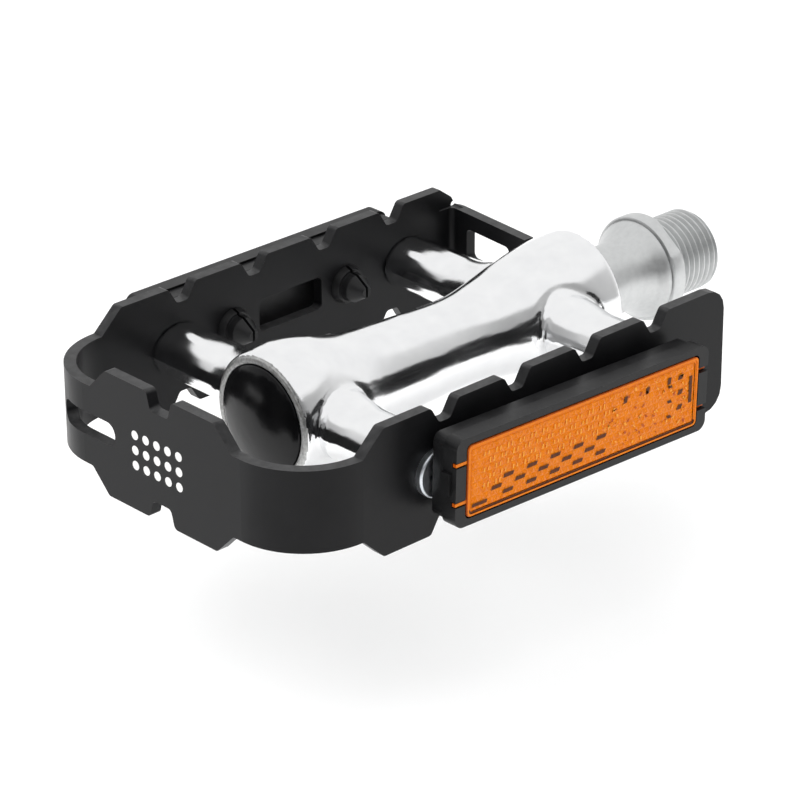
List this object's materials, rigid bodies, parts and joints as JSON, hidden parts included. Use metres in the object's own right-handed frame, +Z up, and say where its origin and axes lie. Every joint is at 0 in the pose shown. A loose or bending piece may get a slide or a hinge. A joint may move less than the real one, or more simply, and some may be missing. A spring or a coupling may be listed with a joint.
{
  "type": "flat pedal",
  "caption": "Right-hand flat pedal: toothed folded cage, cast barrel with cross arms, threaded spindle on ball bearings, and reflectors front and rear.",
  "frame": {"origin": "centre of the spindle shoulder face that seats against the crank", "axes": "+X along the spindle toward the crank, +Y toward the rear plate with the return strip, +Z up"},
  "size_m": [0.12, 0.0782, 0.0226],
  "materials": {
    "cage_black": "satin black with bright worn edges",
    "cast_aluminium": "polished casting",
    "cap_plastic": "gloss black",
    "spindle_steel": "turned and zinc plated",
    "seal_rubber": "matte",
    "bearing_steel": "ground",
    "zinc_steel": "zinc plated",
    "amber_plastic": "moulded prisms",
    "reflector_plastic": "moulded"
  },
  "bodies": {
    "spindle_group": {"spindle": "spindle_steel", "outer_cone": "bearing_steel", "lock_washer": "zinc_steel", "lock_nut": "zinc_steel"},
    "pedal": {"cage": "cage_black", "body": "cast_aluminium", "dust_cap": "cap_plastic", "inner_bearing_cup": "bearing_steel", "outer_bearing_cup": "bearing_steel", "inner_seal": "seal_rubber", "cage_screw_front_outer": "zinc_steel", "cage_screw_front_inner": "zinc_steel", "cage_screw_rear_outer": "zinc_steel", "cage_screw_rear_inner": "zinc_steel", "front_reflector_base": "reflector_plastic", "front_reflector_housing": "reflector_plastic", "front_reflector_lens": "amber_plastic", "rear_reflector_base": "reflector_plastic", "rear_reflector_housing": "reflector_plastic", "rear_reflector_lens": "amber_plastic"},
    "inner_ball_row": {"inner_bearing_balls": "bearing_steel"},
    "outer_ball_row": {"outer_bearing_balls": "bearing_steel"}
  },
  "joints": [
    {"name": "pedal_spin", "type": "hinge", "parent": "spindle_group", "child": "pedal", "pos_m": [-0.05, 0, 0], "axis": [1, 0, 0], "continuous": true},
    {"name": "inner_row_roll", "type": "hinge", "parent": "spindle_group", "child": "inner_ball_row", "pos_m": [-0.0245, 0, 0], "axis": [1, 0, 0], "continuous": true},
    {"name": "outer_row_roll", "type": "hinge", "parent": "spindle_group", "child": "outer_ball_row", "pos_m": [-0.0786, 0, 0], "axis": [1, 0, 0], "continuous": true}
  ],
  "couplings": [
    {"joint": "inner_row_roll", "follows": "pedal_spin", "ratio": 0.5813},
    {"joint": "outer_row_roll", "follows": "pedal_spin", "ratio": 0.5935}
  ]
}
